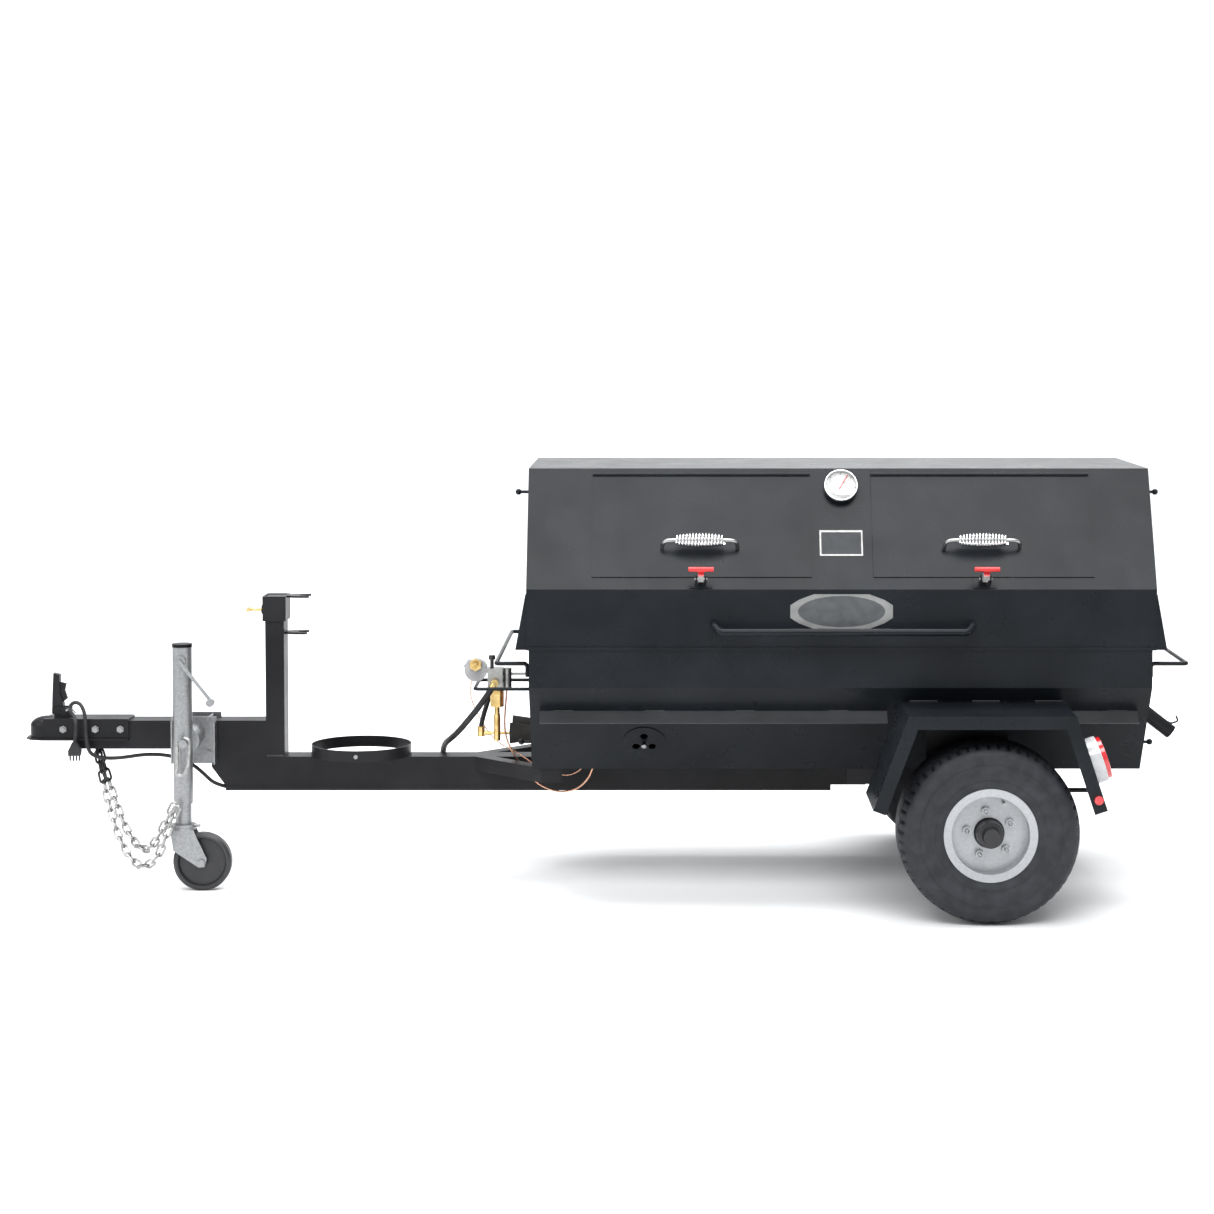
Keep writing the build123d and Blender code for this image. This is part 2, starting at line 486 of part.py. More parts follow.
def gas_train():
    """Regulator, safety valve, needle valve and fittings that feed the near burner."""
    front, down = (0, -1, 0), (0, 0, -1)
    lines = {"gas_hose_long": cord("gas_hose_long", LONG_HOSE, LONG_HOSE_R),
             "gas_hose_short": cord("gas_hose_short", SHORT_HOSE, SHORT_HOSE_R)}
    pilots = [cord("pilot_line", PILOT_LINE, PILOT_R), cord("capillary", CAPILLARY, CAPILLARY_R)]
    regulator = rod((-339, -60, 569), (-339, -26, 569), 30) + rod((-339, -26, 569), (-339, -16, 569), 20)
    regulator += rod((-339, -44, 569), (-366, -44, 588), 13) + rod((-320, -45, 569), (-306.5, -45, 569), 8)
    save("gas_regulator", regulator)
    body = block((-306, -266), (-85, -45), (521, 577)) - rod((-295, -70, 563), (-295, -70, 580), 5 + RUNNING)
    coil = rod((-254, -66, 521), (-254, -66, 577), 11)
    ear = block((-266, BOX_X[0]), (-56, -45), (556, 562)) - rod((-254, -66, 550), (-254, -66, 570), 11)
    save("safety_valve", body, coil, ear)
    save("valve_button", rod((-295, -70, 571.5), (-295, -70, 600), 5) + rod((-295, -70, 600), (-295, -70, 611), 9))
    inlet = hex_bar((-339, -60, 585), front, 17, 12) + rod((-339, -72, 585), (-339, -96, 585), 8)
    hose_out = rod((-286, -85, 540), (-286, -104, 540), 10)
    hose_out += rod((-286, -97, 538), LONG_HOSE[0], 9)
    stub = rod((-302, -42, 521), (-302, -42, 505), 8.5) + block((-306, -296), (-45, -34), (521, 530))
    elbow = rod((-325, -65, 394), (-325, -65, 420), 10) + rod((-325, -65, BURNER_Z), (-297, -65, BURNER_Z), 6)
    union = hex_bar(HOSE_END, down, 13, 34)
    needle = hex_bar((-282, -65, 521), down, 18, 48) + rod((-282, -65, 473), (-282, -65, 452), 7)
    needle += rod((-282, -65, 452), (-282, -65, 382), 9) + rod((-296, -65, BURNER_Z), (-246, -65, BURNER_Z), 4)
    pieces = []
    for piece in (inlet, hose_out, stub, elbow, union, needle):
        for tube in lines.values():
            piece -= tube
        pieces.append(piece)
    save("brass_fittings", *pieces)
    for name, tube in lines.items():
        save(name, tube)
    save("pilot_tubes", *pilots)


# ---- trailer cable and safety chains --------------------------------------------------
CABLE = [(-1013, -20, 250), (-1045, -22, 258), (-1070, -21, 282), (-1098, -18, 306), (-1136, -16, 326),
         (-1184, -15, 336), (-1238, -15, 336), (-1290, -18, 328), (-1332, -32, 328), (-1368, -56, 340),
         (-1378, -64, 372), (-1380, -64, 412), (-1382, -60, 450), (-1394, -50, 476), (-1412, -40, 482),
         (-1428, -34, 472), (-1425, -42, 455), (-1412, -58, 448), (-1404, -68, 424), (-1405, -70, 400),
         (-1408, -70, 378)]
PLUG_TOP = Vector(-1408, -70, 378)


def trailer_cable():
    """Wiring cable from the channel, looped over the coupler, with its flat plug."""
    tube = cord("trailer_cable", CABLE, CABLE_R)
    save("trailer_cable", tube)
    x, y, z = PLUG_TOP.X, PLUG_TOP.Y, PLUG_TOP.Z
    body = along_y([(x - 6, z), (x + 6, z), (x + 17, z - 22), (x + 15, z - 36), (x - 17, z - 36), (x - 17, z - 22)],
                   y - 8, y + 8)
    pins = [rod((x + dx, y, z - 36), (x + dx, y, z - 50), 2.2) for dx in (-13, -4, 4, 12)]
    for pin in pins:
        body += pin
    save("trailer_plug", body - tube)


def chain_link():
    """One oval link lying in the local X, Z plane, long way along X."""
    bend, straight = (LINK_WIDE - LINK_WIRE) / 2, (LINK_LONG - LINK_WIDE) / 2
    halves = []
    for turn in (-1, 1):
        arc = Pos(turn * straight, 0, 0) * Rot(90, 0, 0) * Torus(bend, LINK_WIRE / 2)
        keep = Pos(turn * (straight + 50), 0, 0) * Box(100, 100, 100)
        halves.append(arc & keep)
        side = rod((-straight, 0, turn * bend), (straight, 0, turn * bend), LINK_WIRE / 2)
        halves.append(side)
    link = halves[0]
    for piece in halves[1:]:
        link += piece
    return link


def chain(start, points):
    """Links along a smooth route, every other one turned a quarter."""
    curve = Spline(start, *points)
    stops, last = [curve @ 0], curve @ 0
    for i in range(1, 1001):
        point = curve @ (i / 1000)
        if (point - last).length >= LINK_PITCH:
            stops.append(point)
            last = point
    link, links = chain_link(), []
    for k, (a, b) in enumerate(zip(stops, stops[1:])):
        way = (b - a).normalized()
        across = (Vector(0, 1, 0) - way * way.Y).normalized()
        spin = way.cross(across) if k % 2 == 0 else across
        links.append(Plane((a + b) / 2, x_dir=way, z_dir=spin) * link)
    return links


def safety_chains():
    """Two zinc chains from the staple to a snap hook hung on the jack's stud."""
    near = chain((EYE_X, -13, EYE_Z + 5), [(-1346, -28, 290), (-1318, -66, 206), (-1272, -122, 112),
                 (-1210, -176, 66), (-1166, -208, 96), (-1138, -218, 160), (-1104, -220, 236)])
    far = chain((EYE_X, 13, EYE_Z + 5), [(-1342, 4, 290), (-1306, -34, 206), (-1258, -86, 128),
                (-1206, -146, 104), (-1170, -186, 140), (-1142, -200, 190), (-1112, -203, 250)])
    x, z, y = JACK_PIVOT.X, JACK_PIVOT.Z, -206.0
    loop = [(x + 2, y, z + 15), (x + 17, y, z + 8), (x + 14, y, z - 50), (x - 2, y, z - 88), (x - 18, y, z - 80),
            (x - 16, y, z - 52), (x - 15, y, z + 6)]
    hook = bent_rod(loop, 4.5, 8)
    save("safety_chains", *near, *far, hook)


# ---- swivel jack --------------------------------------------------------------------
def jack():
    """Clamped bracket, swivelling tube with crank, sliding leg and caster wheel."""
    px, pz = JACK_PIVOT.X, JACK_PIVOT.Z
    plate = block(BRACKET_X, (-44, -38.2), BRACKET_Z)
    flanges = block((BRACKET_X[1] - 4, BRACKET_X[1]), (-70, -44), (BRACKET_Z[0], BRACKET_Z[1] - 12))
    flanges += block((BRACKET_X[0], BRACKET_X[0] + 4), (-56, -44), (BRACKET_Z[0], BRACKET_Z[1] - 12))
    back = block(BRACKET_X, (38.2, 44), BRACKET_Z)
    for x, z in CLAMP_BOLTS:
        plate -= rod((x, -50, z), (x, -30, z), 5.2)
        back -= rod((x, 30, z), (x, 50, z), 5.2)
    hub = rod((px, -44, pz), (px, -103, pz), 30) + rod((px, -103, pz), (px, -126, pz), 12)
    save("jack_bracket", plate + flanges + hub, back)

    tube = pipe((JACK_X, JACK_Y, JACK_Z[0]), (JACK_X, JACK_Y, JACK_Z[1]), JACK_R, JACK_R - 2.6)
    lid = rod((JACK_X, JACK_Y, JACK_Z[1] - 4), (JACK_X, JACK_Y, JACK_Z[1] + 5), JACK_R + 1)
    collar = rod((px, -103.5, pz), (px, JACK_Y, pz), 34)
    boss = rod((JACK_X, JACK_Y, CRANK_Z), (JACK_X, -193, CRANK_Z), 14)
    stud = rod((px, JACK_Y, pz), (px, -212, pz), 6) + rod((px, -212, pz), (px, -216, pz), 11)
    core = rod((JACK_X, JACK_Y, JACK_Z[0]), (JACK_X, JACK_Y, JACK_Z[1] - 4), JACK_R - 2.6)
    body = tube + lid + (collar + boss + stud - core)
    body -= rod((px, -100, pz), (px, -130, pz), 12 + RUNNING)
    body -= rod((JACK_X, -200, CRANK_Z), (JACK_X, -176, CRANK_Z), 5 + RUNNING)
    screw = rod((JACK_X, JACK_Y, 236), (JACK_X, JACK_Y, 643), 6)
    save("jack_tube", body, screw)
    arm_end = (-1021, -200, 505)
    crank = rod((JACK_X, -178, CRANK_Z), (JACK_X, -204, CRANK_Z), 5)
    crank += rod((JACK_X, -200, CRANK_Z), arm_end, 4.5) + rod((-1021, -194, 505), (-1021, -228, 505), 5)
    crank += rod((-1021, -205, 505), (-1021, -228, 505), 10)
    save("jack_crank", crank)

    leg = pipe((JACK_X, JACK_Y, LEG_Z[0]), (JACK_X, JACK_Y, LEG_Z[1]), LEG_R, LEG_R - 2.5)
    foot = rod((JACK_X, JACK_Y, LEG_Z[0] - 8), (JACK_X, JACK_Y, LEG_Z[0]), 32)
    pin = rod((JACK_X, JACK_Y, LEG_Z[0] - 16), (JACK_X, JACK_Y, LEG_Z[0] - 8), 6)
    nut = rod((JACK_X + 28, JACK_Y - 8, LEG_Z[0] - 3), (JACK_X + 46, JACK_Y - 8, LEG_Z[0] - 3), 4.5)
    save("jack_leg", leg + foot + pin + nut)

    top = LEG_Z[0] - 8.5
    crown = rod((JACK_X, JACK_Y, top - 6), (JACK_X, JACK_Y, top), 32)
    arm = along_y([(JACK_X - 32, top - 3), (JACK_X + 28, top - 3), (CASTER_X + 14, CASTER_R + 10),
                   (CASTER_X + 8, CASTER_R - 12), (CASTER_X - 8, CASTER_R - 13), (JACK_X - 24, 108)], -25, -21.4)
    arms = Pos(0, JACK_Y, 0) * arm + Pos(0, JACK_Y, 0) * mirror(arm, about=Plane.XZ)
    axle_bolt = rod((CASTER_X, JACK_Y - 31, CASTER_R), (CASTER_X, JACK_Y + 31, CASTER_R), 6)
    heads = [hex_bar((CASTER_X, JACK_Y + s * 25, CASTER_R), (0, s, 0), 10, 6) for s in (-1, 1)]
    ears = Pos(0, JACK_Y, 0) * block((JACK_X - 30, JACK_X + 26), (-25, 25), (top - 6, top - 3))
    pin_way = rod((JACK_X, JACK_Y, 100), (JACK_X, JACK_Y, top + 1), 6 + RUNNING)
    save("caster_fork", crown + arms + ears - pin_way + axle_bolt + heads)
    wheel = [(6 + RUNNING, JACK_Y - 20), (14, JACK_Y - 20), (14, JACK_Y - 6), (60, JACK_Y - 6), (64, JACK_Y - 17),
             (70, JACK_Y - CASTER_HALF), (CASTER_R, JACK_Y - 12), (CASTER_R, JACK_Y + 12),
             (70, JACK_Y + CASTER_HALF), (64, JACK_Y + 17), (60, JACK_Y + 6), (14, JACK_Y + 6),
             (14, JACK_Y + 20), (6 + RUNNING, JACK_Y + 20)]
    save("caster_wheel", turned(wheel, CASTER_X, CASTER_R))


def coupler_lever():
    """Latch lever with its trigger, turning between the coupler's two lugs."""
    x, z = LEVER_PIVOT
    plate = along_y([(x - 20, z - 6), (x - 8, z - 12), (x + 6, z - 12), (x + 13, z - 4), (x + 11, z + 20),
                     (x + 1, z + 50), (x + 2, z + 98), (x - 15, z + 103), (x - 18, z + 50)], -11, 11)
    trigger = along_y([(x + 1, z + 50), (x + 2, z + 78), (x + 18, z + 74), (x + 14, z + 56), (x + 21, z + 34),
                       (x + 9, z + 24)], -5, 5)
    save("coupler_lever", plate + trigger + rod((x, -23, z), (x, 23, z), 4))


# ---- hood, doors and latches ----------------------------------------------------------
HOOD_LINE = [(-HALF_DEPTH, HOOD_LIP_Z), (-HALF_DEPTH, HOOD_KNEE_Z), (-HALF_TOP, HOOD_TOP_Z),
             (HALF_TOP, HOOD_TOP_Z), (HALF_DEPTH, HOOD_KNEE_Z), (HALF_DEPTH, HOOD_LIP_Z)]


def hood():
    """Bent hood shell with two door openings, its end plates and their drip flanges."""
    shell = along_x(band(HOOD_LINE, -SHEET), *HOOD_X)
    shell += block(HOOD_X, (-HALF_DEPTH - 4, -HALF_DEPTH), (HOOD_LIP_Z, HOOD_LIP_Z + 8))
    for x0, x1 in DOORS.values():
        shell -= panel_block((x0 + 18, x1 - 18), (DOOR_TOP + 18, DOOR_BOTTOM - 18), (-12, 6))
    tx, down = THERMOMETER
    shell -= rod(on_panel(tx, down, -20), on_panel(tx, down, 10), 6)
    save("hood_shell", shell)

    planes, ends = damper_planes(), []
    inner = band(HOOD_LINE, -SHEET)[len(HOOD_LINE):]
    for x0, outer, way, side in ((HOOD_X[0], HOOD_X[0], -1, "hood_front"),
                                 (HOOD_X[1] - SHEET, HOOD_X[1], 1, "hood_rear")):
        plate = along_x(inner, x0, x0 + SHEET)
        slope = band([(outer, 807), (outer + way * 26, HOOD_LIP_Z)], way * 2.5)
        flange = along_y(slope, -396, 396)
        cheek = along_y([(outer, 807), (outer + way * 26, HOOD_LIP_Z), (outer, HOOD_LIP_Z)], -396, -393.5)
        flange += both_sides(cheek)
        low_x = outer + way * 30
        trim = block((min(outer, outer - way * 9), max(outer, outer - way * 9)), (-400, 400), (660, 820))
        plate -= damper_vents(planes[side])
        plate -= planes[side] * Cylinder(DAMPER_SCREW_R + RUNNING, 20)
        ends += [plate, (flange - trim) & block((min(outer, low_x), max(outer, low_x)), (-400, 400),
                                                (HOOD_LIP_Z, 820))]
    save("hood_ends", *ends)


def hood_fittings():
    """Lift handle, name plates, thermometer, hinge leaves and latch bases on the hood."""
    y, z = -455.0, 718.0
    ends = [(290, -403, 732), (290, -430, 732), (306, y, z), (929, y, z), (945, -430, 732), (945, -403, 732)]
    save("lift_handle", bent_rod(ends, 9.5, 14))

    wide, high, cx, cz = 130.0, 44.0, 614.0, 765.0
    plaque = along_y([(cx - wide, cz - 16), (cx - wide + 22, cz - 30), (cx - 70, cz - high), (cx + 70, cz - high),
                      (cx + wide - 22, cz - 30), (cx + wide, cz - 16), (cx + wide, cz + 16),
                      (cx + wide - 22, cz + 30), (cx + 70, cz + high), (cx - 70, cz + high),
                      (cx - wide + 22, cz + 30), (cx - wide, cz + 16)], -405.5, -403)
    label = panel_block((561, 671), (172, 242), (0, 1))
    save("plates", plaque, label)

    tx, down = THERMOMETER
    case = rod(on_panel(tx, down, 12), on_panel(tx, down, 27), 43.5)
    case -= rod(on_panel(tx, down, 15), on_panel(tx, down, 27), 40.5)
    case += rod(on_panel(tx, down, -70), on_panel(tx, down, 12), 5)
    case += rod(on_panel(tx, down, 0), on_panel(tx, down, 12), 12)
    case -= rod(on_panel(tx, down, 10), on_panel(tx, down, 16), 2 + RUNNING)
    glass = rod(on_panel(tx, down, 24.5), on_panel(tx, down, 26.5), 40.5)
    save("thermometer_case", case, glass)
    needle = rod(on_panel(tx, down, 11), on_panel(tx, down, 19), 2)
    centre = on_panel(tx, down, 17.5)
    lie = Plane(centre, x_dir=(1, 0, 0), z_dir=PANEL_OUT)
    needle += lie * Rot(0, 0, 60) * Pos(12, 0, 0) * Box(40, 2.4, 1.5)
    save("thermometer_pointer", needle)

    fixed = []
    for side, (x0, x1) in DOORS.items():
        leaf = panel_block((x0, x1), (2, 13.0), (0, 2))
        for a, b in knuckles(x0, x1)[0::2]:
            leaf += knuckle(a, b, (13.0, HINGE_DOWN))
        fixed.append(leaf)
        fixed.append(rod(on_panel(x0 + 1, HINGE_DOWN, HINGE_OUT), on_panel(x1 - 1, HINGE_DOWN, HINGE_OUT), 2.5))
        x = LATCH_X[side]
        base = panel_block((x - 29, x + 29), (304, 330), (0, 3))
        for s in (-1, 1):
            base += panel_block((x + s * 12 - 2, x + s * 12 + 2), (308, 324), (3, 40))
        base -= rod(on_panel(x - 30, LATCH_DOWN, LATCH_OUT), on_panel(x + 30, LATCH_DOWN, LATCH_OUT), 3 + RUNNING)
        fixed.append(base)
    for name, height in (("box", (-50, -8)), ("hood", (7, 56))):
        leaves = []
        for x in HOOD_HINGES:
            low, high_z = HOOD_PIN[1] + height[0], HOOD_PIN[1] + height[1]
            leaf = block((x - 40, x + 40), (403, 406), (low, high_z))
            spans = ((x - 40, x - 14), (x + 14, x + 40)) if name == "box" else ((x - 13.5, x + 13.5),)
            for a, b in spans:
                reach = (HOOD_PIN[1] - 10, HOOD_PIN[1]) if name == "box" else (HOOD_PIN[1], HOOD_PIN[1] + 10)
                leaf += block((a, b), (404, 412), reach)
                leaf += rod((a, *HOOD_PIN), (b, *HOOD_PIN), 8)
            bore = 5.0 if name == "box" else 5 + RUNNING
            leaf -= rod((x - 41, *HOOD_PIN), (x + 41, *HOOD_PIN), bore)
            leaves.append(leaf)
        if name == "box":
            save("box_hinges", *leaves, *[rod((x - 44, *HOOD_PIN), (x + 44, *HOOD_PIN), 5) for x in HOOD_HINGES])
    save("hood_hardware", *fixed, *leaves)


def knuckles(x0, x1):
    """Hinge barrel lengths across a door, with a small gap between neighbours."""
    count, gap = 7, 0.6
    length = (x1 - x0 - gap * (count - 1)) / count
    return [(x0 + i * (length + gap), x0 + i * (length + gap) + length) for i in range(count)]


def knuckle(a, b, reach):
    """One hinge barrel with the web that joins it to its leaf."""
    barrel = rod(on_panel(a, HINGE_DOWN, HINGE_OUT), on_panel(b, HINGE_DOWN, HINGE_OUT), 4.5)
    web = panel_block((a, b), (min(reach), max(reach)), (1.0, 3.0))
    hole = rod(on_panel(a - 1, HINGE_DOWN, HINGE_OUT), on_panel(b + 1, HINGE_DOWN, HINGE_OUT), 2.5 + RUNNING)
    return barrel + web - hole


def doors():
    """Two lift-up doors with coil handles, and the latch lever below each."""
    for side, (x0, x1) in DOORS.items():
        door = panel_block((x0, x1), (DOOR_TOP, DOOR_BOTTOM), (0.6, 3.6))
        for a, b in knuckles(x0, x1)[1::2]:
            door += knuckle(a, b, (HINGE_DOWN, DOOR_TOP + 1))
        save(f"door_{side}", door)
        x, down = HANDLE_X[side], 222.0
        feet = [(x - 96, down + 4, 3.6), (x - 96, down, 28), (x - 70, down - 4, 50), (x + 70, down - 4, 50),
                (x + 96, down, 28), (x + 96, down + 4, 3.6)]
        bar = bent_rod([tuple(on_panel(*p)) for p in feet], 5, 12)
        coil = [(5, -61), (13, -58), (20, -20), (20, 20), (13, 58), (5, 61)]
        grip = Plane(on_panel(x, down - 4, 50), x_dir=PANEL_OUT, z_dir=PANEL_DOWN) * revolve(
            Polygon(*coil, align=None), Axis.Y)
        save(f"door_{side}_handle", bar + grip - door)

        lx = LATCH_X[side]
        pivot = rod(on_panel(lx - 16, LATCH_DOWN, LATCH_OUT), on_panel(lx + 16, LATCH_DOWN, LATCH_OUT), 3)
        arm = panel_block((lx - 7, lx + 7), (305, 320), (18, 60))
        pad = rod(on_panel(lx, 309.5, 5), on_panel(lx, 309.5, 22), 5)
        grip = rod(on_panel(lx - 31.5, 305.5, 71), on_panel(lx + 31.5, 305.5, 71), 6)
        grip += panel_block((lx - 9, lx + 9), (302, 312), (60, 72))
        save(f"latch_{side}", pivot + arm + pad, grip)


def dampers():
    """Round air dampers that turn on a centre screw, each with a knob."""
    for name, plane in damper_planes().items():
        radius = SLOPE_DAMPER_R if name == "slope" else DAMPER_R
        disc = plane * Pos(0, 0, 1.4) * Cylinder(radius, 2)
        disc -= damper_vents(plane)
        reach = 12.0 if name == "slope" else 30.0
        knob = plane * Pos(0, 0, reach / 2 + 2) * Cylinder(4, reach)
        if name != "slope":
            knob += plane * Pos(0, 0, reach) * Sphere(8)
        screw = plane * Pos(0, 0, -2.5) * Cylinder(DAMPER_SCREW_R, 11)
        save(f"damper_{name}", disc + knob + screw)


for make in (tongue_frame, cross_members, axle, coupler, frame_bolts, post_and_ring, tank_clamp, cooker_box,
             cooker_inside, spout, fenders, lights, wheels, gas_train, trailer_cable, safety_chains, jack,
             coupler_lever, hood, hood_fittings, doors, dampers):
    make()
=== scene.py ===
"""Gas barbecue trailer: materials, tyres, coil handles, dial, hoses and cable on the CAD frame."""
import json
from math import cos, hypot, pi, radians, sin

import bpy
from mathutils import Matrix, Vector


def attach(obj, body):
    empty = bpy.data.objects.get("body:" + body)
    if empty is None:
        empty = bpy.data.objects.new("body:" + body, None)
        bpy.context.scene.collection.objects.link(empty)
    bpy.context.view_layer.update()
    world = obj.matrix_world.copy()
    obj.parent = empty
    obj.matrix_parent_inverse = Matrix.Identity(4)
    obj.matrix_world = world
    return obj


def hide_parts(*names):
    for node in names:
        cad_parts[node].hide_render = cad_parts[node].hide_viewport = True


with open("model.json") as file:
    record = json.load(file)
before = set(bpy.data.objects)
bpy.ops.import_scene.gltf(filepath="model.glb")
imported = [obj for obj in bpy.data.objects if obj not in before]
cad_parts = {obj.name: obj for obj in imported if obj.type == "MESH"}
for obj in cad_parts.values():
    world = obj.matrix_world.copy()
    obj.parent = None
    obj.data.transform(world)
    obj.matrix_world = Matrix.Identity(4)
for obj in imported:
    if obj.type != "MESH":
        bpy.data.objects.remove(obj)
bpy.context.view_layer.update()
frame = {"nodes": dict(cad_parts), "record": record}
nodes = frame["nodes"]

PANEL = Vector((0, -0.4412, -0.8974))         # down the tilted hood panel
OUT = Vector((0, -0.8974, 0.4412))            # away from it
WHEEL = Vector((0.974, 0, 0.2275))


# ---- materials ------------------------------------------------------------------------
class Paint:
    """A Principled material with a few noise layers, in row-frame metres."""

    def __init__(self, name, rough=0.5, metallic=0.0, **sockets):
        self.mat = bpy.data.materials.new(name)
        self.mat.use_nodes = True
        self.tree = self.mat.node_tree
        self.bsdf = self.tree.nodes["Principled BSDF"]
        self.bsdf.inputs["Metallic"].default_value = metallic
        self.bsdf.inputs["Roughness"].default_value = rough
        for key, value in sockets.items():
            self.bsdf.inputs[key.replace("_", " ")].default_value = value
        self.place = self.node("ShaderNodeTexCoord").outputs["Object"]

    def node(self, kind, **values):
        made = self.tree.nodes.new(kind)
        for key, value in values.items():
            setattr(made, key, value)
        return made

    def link(self, out, into):
        self.tree.links.new(out, into)

    def noise(self, scale, detail=3.0, stretch=(1, 1, 1)):
        mapping = self.node("ShaderNodeMapping")
        mapping.inputs["Scale"].default_value = stretch
        self.link(self.place, mapping.inputs["Vector"])
        noise = self.node("ShaderNodeTexNoise")
        noise.inputs["Scale"].default_value = scale
        noise.inputs["Detail"].default_value = detail
        self.link(mapping.outputs["Vector"], noise.inputs["Vector"])
        return noise.outputs["Fac"]

    def ramp(self, value, stops):
        ramp = self.node("ShaderNodeValToRGB")
        ramp.color_ramp.elements[0].position, ramp.color_ramp.elements[0].color = stops[0][0], (*stops[0][1], 1)
        ramp.color_ramp.elements[1].position, ramp.color_ramp.elements[1].color = stops[-1][0], (*stops[-1][1], 1)
        for at, color in stops[1:-1]:
            ramp.color_ramp.elements.new(at).color = (*color, 1)
        self.link(value, ramp.inputs["Fac"])
        return ramp.outputs["Color"]

    def colour(self, out):
        self.link(out, self.bsdf.inputs["Base Color"])

    def roughness(self, value, low, high):
        spread = self.node("ShaderNodeMapRange")
        spread.inputs["To Min"].default_value = low
        spread.inputs["To Max"].default_value = high
        self.link(value, spread.inputs["Value"])
        self.link(spread.outputs["Result"], self.bsdf.inputs["Roughness"])

    def bump(self, value, strength, distance):
        bump = self.node("ShaderNodeBump")
        bump.inputs["Strength"].default_value = strength
        bump.inputs["Distance"].default_value = distance
        self.link(value, bump.inputs["Height"])
        self.link(bump.outputs["Normal"], self.bsdf.inputs["Normal"])

    def along(self, direction, start, width):
        """0 before start metres along a direction in the row frame, 1 after start + width."""
        dot = self.node("ShaderNodeVectorMath", operation="DOT_PRODUCT")
        dot.inputs[1].default_value = direction
        self.link(self.place, dot.inputs[0])
        step = self.node("ShaderNodeMapRange")
        step.inputs["From Min"].default_value = start
        step.inputs["From Max"].default_value = start + width
        self.link(dot.outputs["Value"], step.inputs["Value"])
        return step.outputs["Result"]

    def inside(self, direction, low, high):
        """1 between two distances along a direction, 0 outside."""
        band = self.node("ShaderNodeMath", operation="SUBTRACT")
        self.link(self.along(direction, low, 0.0004), band.inputs[0])
        self.link(self.along(direction, high, 0.0004), band.inputs[1])
        return band.outputs["Value"]

    def radius(self, centre, flat, start, width):
        """0 inside a radius about a line through centre, 1 outside; flat zeroes the line's direction."""
        shift = self.node("ShaderNodeVectorMath", operation="SUBTRACT")
        shift.inputs[1].default_value = centre
        self.link(self.place, shift.inputs[0])
        squash = self.node("ShaderNodeVectorMath", operation="MULTIPLY")
        squash.inputs[1].default_value = flat
        self.link(shift.outputs["Vector"], squash.inputs[0])
        length = self.node("ShaderNodeVectorMath", operation="LENGTH")
        self.link(squash.outputs["Vector"], length.inputs[0])
        step = self.node("ShaderNodeMapRange")
        step.inputs["From Min"].default_value = start
        step.inputs["From Max"].default_value = start + width
        self.link(length.outputs["Value"], step.inputs["Value"])
        return step.outputs["Result"]

    def mixed(self, mask, low, high):
        mix = self.node("ShaderNodeMix", data_type="RGBA")
        self.link(mask, mix.inputs["Factor"])
        for socket, value in ((mix.inputs[6], low), (mix.inputs[7], high)):
            if isinstance(value, tuple):
                socket.default_value = (*value, 1)
            else:
                self.link(value, socket)
        return mix.outputs[2]


def painted_steel(name, dark, light, rough, peel=0.12, shine=0.16):
    """Powder-coated sheet: faint mottling, dust and orange peel."""
    paint = Paint(name, Specular_IOR_Level=shine)
    paint.colour(paint.ramp(paint.noise(5.0, 6.0), [(0.35, dark), (0.7, light)]))
    paint.roughness(paint.noise(11.0, 8.0), rough - 0.06, rough + 0.1)
    paint.bump(paint.noise(420.0, 2.0), peel, 0.0006)
    return paint.mat


def plated_steel(name, low, high, rough, metallic=1.0):
    """Zinc or bare steel with spangle and fine drawing lines."""
    paint = Paint(name, metallic=metallic)
    paint.colour(paint.ramp(paint.noise(150.0, 5.0), [(0.2, low), (0.8, high)]))
    paint.roughness(paint.noise(60.0, 4.0), rough - 0.05, rough + 0.09)
    paint.bump(paint.noise(300.0, 4.0, (1, 1, 0.2)), 0.15, 0.0005)
    return paint.mat


def rubber(name, colour, rough, grain=240.0):
    """Matte rubber with a fine grain."""
    paint = Paint(name, Specular_IOR_Level=0.35)
    light = tuple(min(1.0, c * 1.7 + 0.004) for c in colour)
    paint.colour(paint.ramp(paint.noise(34.0, 6.0), [(0.35, colour), (0.72, light)]))
    paint.roughness(paint.noise(18.0, 4.0), rough - 0.07, rough + 0.08)
    paint.bump(paint.noise(grain, 3.0), 0.25, 0.0008)
    return paint.mat


def plastic(name, colour, rough, coat=0.0):
    """Moulded plastic with slight shade variation."""
    paint = Paint(name, Coat_Weight=coat)
    light = tuple(min(1.0, c * 1.25) for c in colour)
    paint.colour(paint.ramp(paint.noise(40.0, 4.0), [(0.35, colour), (0.7, light)]))
    paint.roughness(paint.noise(70.0, 3.0), rough - 0.04, rough + 0.06)
    paint.bump(paint.noise(500.0, 2.0), 0.08, 0.0004)
    return paint.mat


def rim_material():
    """Silver rim, dark hub and bearing cap in its middle, brighter wheel nuts round it."""
    paint = Paint("rim_silver", metallic=0.5, Specular_IOR_Level=0.5)
    silver = paint.ramp(paint.noise(120.0, 5.0), [(0.2, (0.33, 0.34, 0.35)), (0.8, (0.42, 0.43, 0.44))])
    paint.colour(paint.mixed(paint.radius(WHEEL, (1, 0, 1), 0.0385, 0.0006), (0.03, 0.03, 0.032), silver))
    paint.roughness(paint.noise(22.0, 6.0), 0.26, 0.44)
    paint.bump(paint.noise(320.0, 2.0), 0.1, 0.0005)
    return paint.mat


